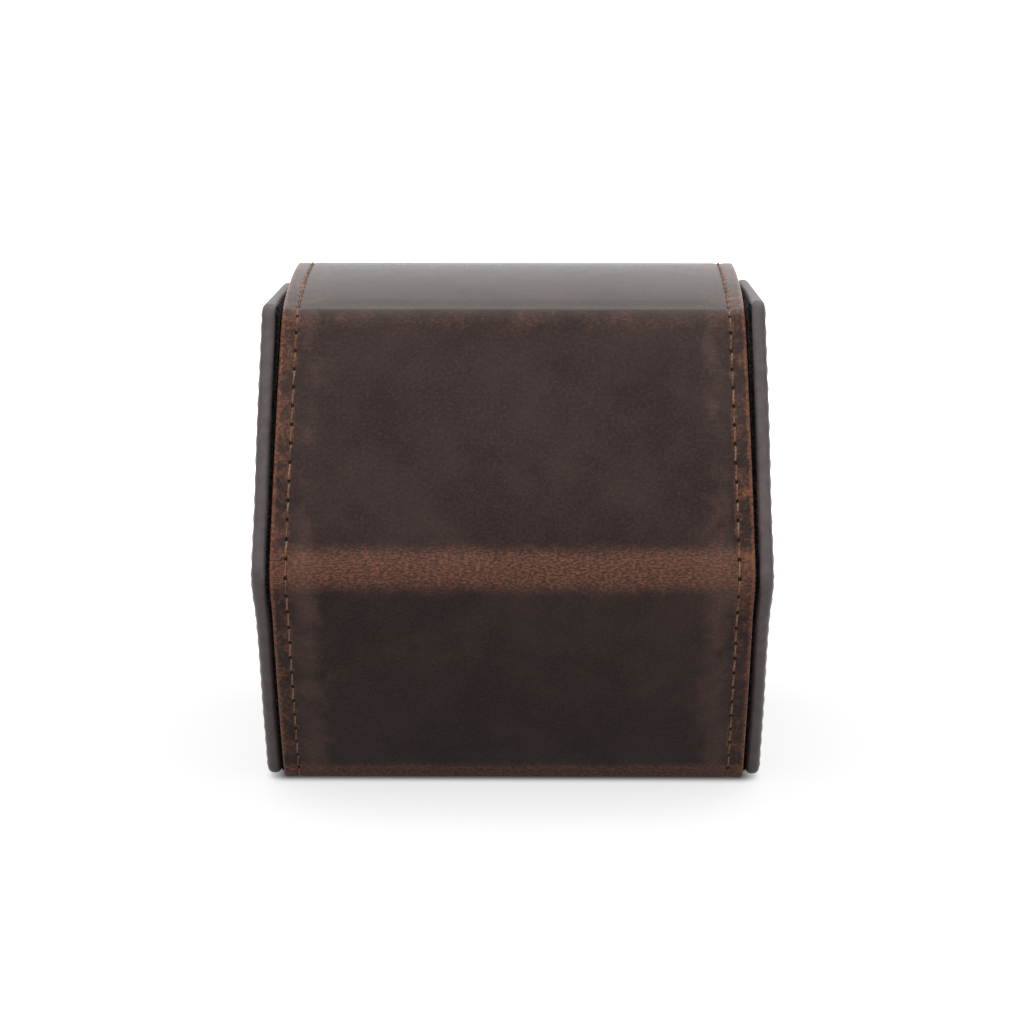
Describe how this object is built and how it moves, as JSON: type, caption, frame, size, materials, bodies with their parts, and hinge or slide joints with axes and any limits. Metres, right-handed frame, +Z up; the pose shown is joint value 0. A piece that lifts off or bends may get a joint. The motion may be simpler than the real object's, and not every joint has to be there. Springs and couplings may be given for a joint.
{
  "type": "leather watch case",
  "caption": "Hexagonal watch case of dark leather, with a panelled lid that unrolls to the back, a magnetic closing flap and a lift-out cushion.",
  "frame": {"origin": "middle of the flat base, on the surface that the case stands on", "axes": "+X along the prism from the left to the right end panel as seen from the hinge side, +Y from the hinge side to the closing flap, +Z up"},
  "size_m": [0.0878, 0.0969, 0.0844],
  "materials": {
    "leather": "waxed pull-up, dark brown",
    "velvet": "black velvet",
    "board": "grey board",
    "thread": "waxed brown thread",
    "magnet": "nickel plated",
    "foam": "soft foam"
  },
  "bodies": {
    "tray": {"base_board": "board", "left_end_board": "board", "left_end_leather": "leather", "left_end_lining": "velvet", "left_end_stitches": "thread", "left_gusset": "leather", "lower_back_board": "board", "lower_front_board": "board", "right_end_board": "board", "right_end_leather": "leather", "right_end_lining": "velvet", "right_end_stitches": "thread", "right_gusset": "leather", "tray_leather": "leather", "tray_lining": "velvet", "tray_stitches": "thread", "wall_magnets": "magnet"},
    "cushion": {"cushion_core": "foam", "cushion_left_cap": "velvet", "cushion_right_cap": "velvet", "cushion_sleeve": "velvet"},
    "flap": {"flap_board": "board", "flap_leather": "leather", "flap_lining": "velvet", "flap_magnets": "magnet", "flap_stitches": "thread"},
    "lid_top": {"top_board": "board", "top_leather": "leather", "top_lining": "velvet", "top_stitches": "thread"},
    "lid_back": {"upper_back_board": "board", "upper_back_leather": "leather", "upper_back_lining": "velvet", "upper_back_stitches": "thread"},
    "lid_front": {"upper_front_board": "board", "upper_front_leather": "leather", "upper_front_lining": "velvet", "upper_front_stitches": "thread"}
  },
  "joints": [
    {"name": "back_fold", "type": "hinge", "parent": "tray", "child": "lid_back", "pos_m": [0, -0.04806, 0.0416], "axis": [1, 0, 0], "range_deg": [0, 110]},
    {"name": "top_back_fold", "type": "hinge", "parent": "lid_back", "child": "lid_top", "pos_m": [0, -0.02418, 0.08302], "axis": [1, 0, 0], "range_deg": [0, 55]},
    {"name": "top_front_fold", "type": "hinge", "parent": "lid_top", "child": "lid_front", "pos_m": [0, 0.02418, 0.08302], "axis": [1, 0, 0], "range_deg": [0, 55]},
    {"name": "flap_fold", "type": "hinge", "parent": "lid_front", "child": "flap", "pos_m": [0, 0.04806, 0.0416], "axis": [1, 0, 0], "range_deg": [0, 120]},
    {"name": "cushion_lift", "type": "slide", "parent": "tray", "child": "cushion", "axis": [0, 0, 1], "range_m": [0, 0.0805]}
  ],
  "couplings": [
    {"joint": "top_back_fold", "follows": "back_fold", "ratio": 0.5},
    {"joint": "top_front_fold", "follows": "back_fold", "ratio": 0.5},
    {"joint": "cushion_lift", "follows": "back_fold", "m_per_rad": 0.04167}
  ]
}
